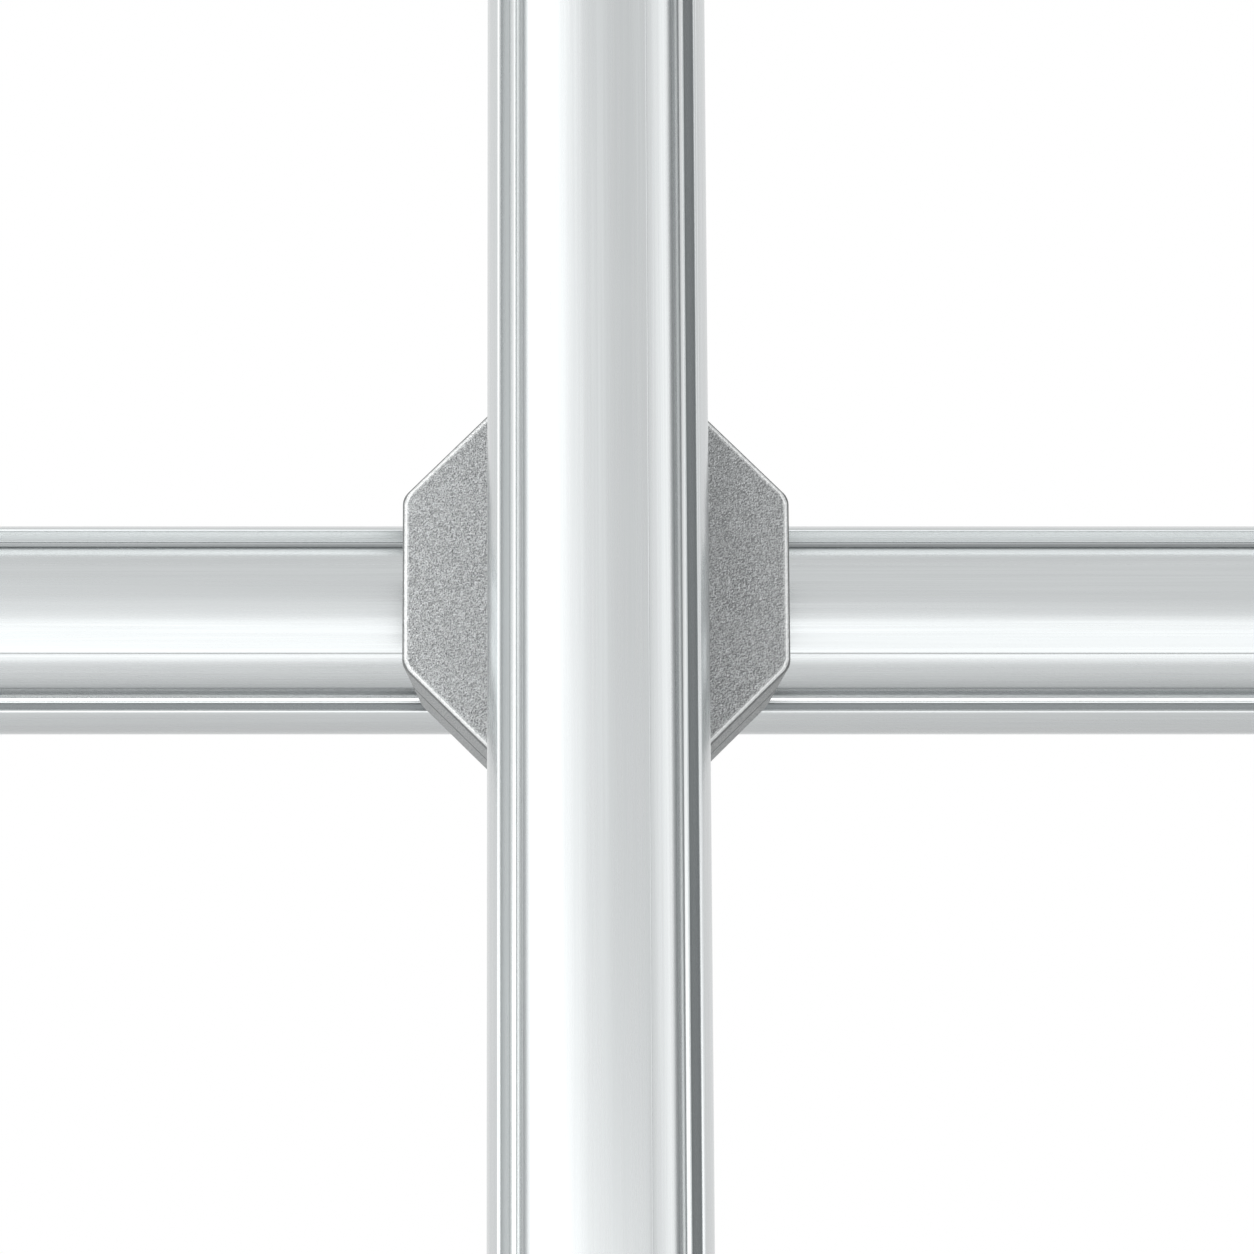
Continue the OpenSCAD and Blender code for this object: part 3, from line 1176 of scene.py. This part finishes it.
@dataclass(frozen=True)
class SoftBox:
    """A rectangular lamp that faces the joint.

    Args:
        name: the lamp's name.
        azimuth: degrees round from the front, positive to the right.
        elevation: degrees above the horizon.
        width: degrees that it spans sideways.
        height: degrees that it spans upwards.
        radiance: how much it adds to the white surroundings, which are 1.
        distance: how far it stands from the joint.
    """

    name: str
    azimuth: float
    elevation: float
    width: float
    height: float
    radiance: float
    distance: float = 1.2

    def place(self) -> None:
        """Makes the lamp and aims it."""
        azimuth, elevation = math.radians(self.azimuth), math.radians(self.elevation)
        level = math.cos(elevation)
        away = Vector((math.sin(azimuth) * level, -math.cos(azimuth) * level, math.sin(elevation)))
        lamp = bpy.data.lights.new(self.name, "AREA")
        lamp.shape = "RECTANGLE"
        lamp.size = 2 * self.distance * math.tan(math.radians(self.width / 2))
        lamp.size_y = 2 * self.distance * math.tan(math.radians(self.height / 2))
        lamp.energy = math.pi * lamp.size * lamp.size_y * self.radiance
        holder = bpy.data.objects.new(self.name, lamp)
        holder.location = away * self.distance
        holder.rotation_euler = away.to_track_quat("Z", "Y").to_euler()
        holder.visible_camera = False
        bpy.context.scene.collection.objects.link(holder)


@dataclass
class Studio:
    """The camera, the lamps, the pale floor and the white surroundings.

    Args:
        eye: where the camera stands.
        pitch: how far the camera looks up, in degrees.
        lens: focal length in millimetres on a 36 mm sensor.
        shift: sideways and upward shift of the lens, as shares of the frame.
        floor_height: height of the floor.
        floor_radius: radius of the round floor.
        ambient: strength of the surroundings as soft light.
    """

    eye: tuple[float, float, float] = (-11.4 * MM, -621.7 * MM, -149.8 * MM)
    pitch: float = 11.566
    lens: float = 140.641
    shift: tuple[float, float] = (0.09506, 0.10861)
    floor_height: float = -1.2
    floor_radius: float = 12.0
    ambient: float = 0.85

    def build(self) -> None:
        """Sets up the studio."""
        self._camera()
        self._surroundings()
        self._floor()
        for box in self._soft_boxes():
            box.place()

    def _camera(self) -> None:
        """Places the camera below the joint, looking up at it."""
        view = bpy.data.cameras.new("camera")
        view.sensor_width = 36.0
        view.lens = self.lens
        view.shift_x, view.shift_y = self.shift
        view.clip_start = 0.01
        view.clip_end = 40.0
        camera = bpy.data.objects.new("camera", view)
        camera.location = self.eye
        camera.rotation_euler = (math.radians(90 + self.pitch), 0, 0)
        bpy.context.scene.collection.objects.link(camera)
        bpy.context.scene.camera = camera

    def _surroundings(self) -> None:
        """White to the camera and in reflections, and a soft grey light otherwise."""
        world = bpy.data.worlds.new("studio")
        world.use_nodes = True
        world.node_tree.nodes.clear()
        bench = NodeBench(world.node_tree)
        path = bench.add("LightPath").outputs
        seen = bench.math("MAXIMUM", path["Is Camera Ray"], path["Is Glossy Ray"])
        seen = bench.math("MAXIMUM", seen, path["Is Transmission Ray"])
        strength = bench.spread(seen, self.ambient, 1.0)
        light = bench.add("Background", Color=(1, 1, 1, 1), Strength=strength)
        bench.add("OutputWorld", Surface=light.outputs["Background"])
        bpy.context.scene.world = world

    def _floor(self) -> None:
        """A wide pale floor, well below the joint."""
        bm = bmesh.new()
        bmesh.ops.create_circle(bm, cap_ends=True, segments=128, radius=self.floor_radius)
        bmesh.ops.translate(bm, vec=(0, 0, self.floor_height), verts=bm.verts[:])
        material, bench, shader, _ = new_material("pale_floor")
        bench.wire(shader, Base_Color=Tone.FLOOR.rgba, Roughness=0.9)
        new_piece("floor", bm, (material,))

    @staticmethod
    def _soft_boxes() -> Iterable[SoftBox]:
        """The lamps."""
        yield SoftBox("key", -76, 8, 40, 84, 1.7)
        yield SoftBox("key_back", -108, 8, 24, 80, 0.42)
        yield SoftBox("key_near", -45, 8, 22, 76, 0.78)
        yield SoftBox("key_front", -26, 8, 16, 70, 0.46)
        yield SoftBox("front", -6, 11, 28, 22, 0.2)
        yield SoftBox("low_front", 0, -28, 110, 54, 0.95, 0.95)
        yield SoftBox("fill", 90, 8, 34, 76, 0.42)


# ---------------------------------------------------------------------- main


def main() -> None:
    """Builds the studio and every piece, in order."""
    logging.basicConfig(level=logging.INFO, format="%(name)s %(relativeCreated)d: %(message)s")
    bpy.context.scene.view_settings.view_transform = "Standard"
    Studio().build()
    effects = SharedEffects()
    inside = MillFinish().make(effects)
    right, up = Vector((1, 0, 0)), Vector((0, 0, 1))
    # Each tube gets painted shade and painted highlights in the grooves beside two opposite rails.
    tubes = (
        RailedTube(
            "upright_tube", "upright", Run.UPRIGHT, right,
            dull=GroovePaintedLight(flank=0.85, foot=-0.3, core=-1.0, shade=-0.4),
            bright=GroovePaintedLight(flank=0.3, foot=-0.5, core=-1.0),
        ),
        RailedTube(
            "cross_tube", "cross", Run.ACROSS, -up,
            dull=GroovePaintedLight(flank=0.9, foot=-0.9, core=-1.0, shade=0.36),
            bright=GroovePaintedLight(flank=-1.0, foot=0.7),
        ),
    )
    for tube in tubes:
        wall = ExtrudedAluminium(tube.run).make(effects)
        sawn = SawnAluminium(tube.run).make(effects)
        tube.build(wall, sawn, inside)
    skin = BlastedCasting().make(effects)
    castings = (
        Casting("front_half", "block", ("front_screw_upper", "front_screw_lower")),
        Casting("rear_half", "block", ("rear_screw_left", "rear_screw_right")),
        Casting("front_jaw", "front_clamp"),
        Casting("rear_jaw", "rear_clamp"),
    )
    for casting in castings:
        casting.build(skin)
    plated = Steel("plated_steel", Tone.PLATED_STEEL, 0.32).make(effects)
    ground = Steel("ground_steel", Tone.GROUND_STEEL, 0.2).make(effects)
    screws = (
        ClampScrew("front_screw_upper", "upper_screw", right),
        ClampScrew("front_screw_lower", "lower_screw", right),
        ClampScrew("rear_screw_left", "left_screw", up),
        ClampScrew("rear_screw_right", "right_screw", up),
    )
    shape = screws[0].shape()
    for screw in screws:
        screw.build(shape, plated)
    for node in ("centre_screw", "centre_nut"):
        TurnedPart(node, "block", "screw").build(plated)
    for node in ("side_dowel", "lower_dowel"):
        TurnedPart(node, "block", "dowel").build(ground)


if __name__ == "__main__":
    main()
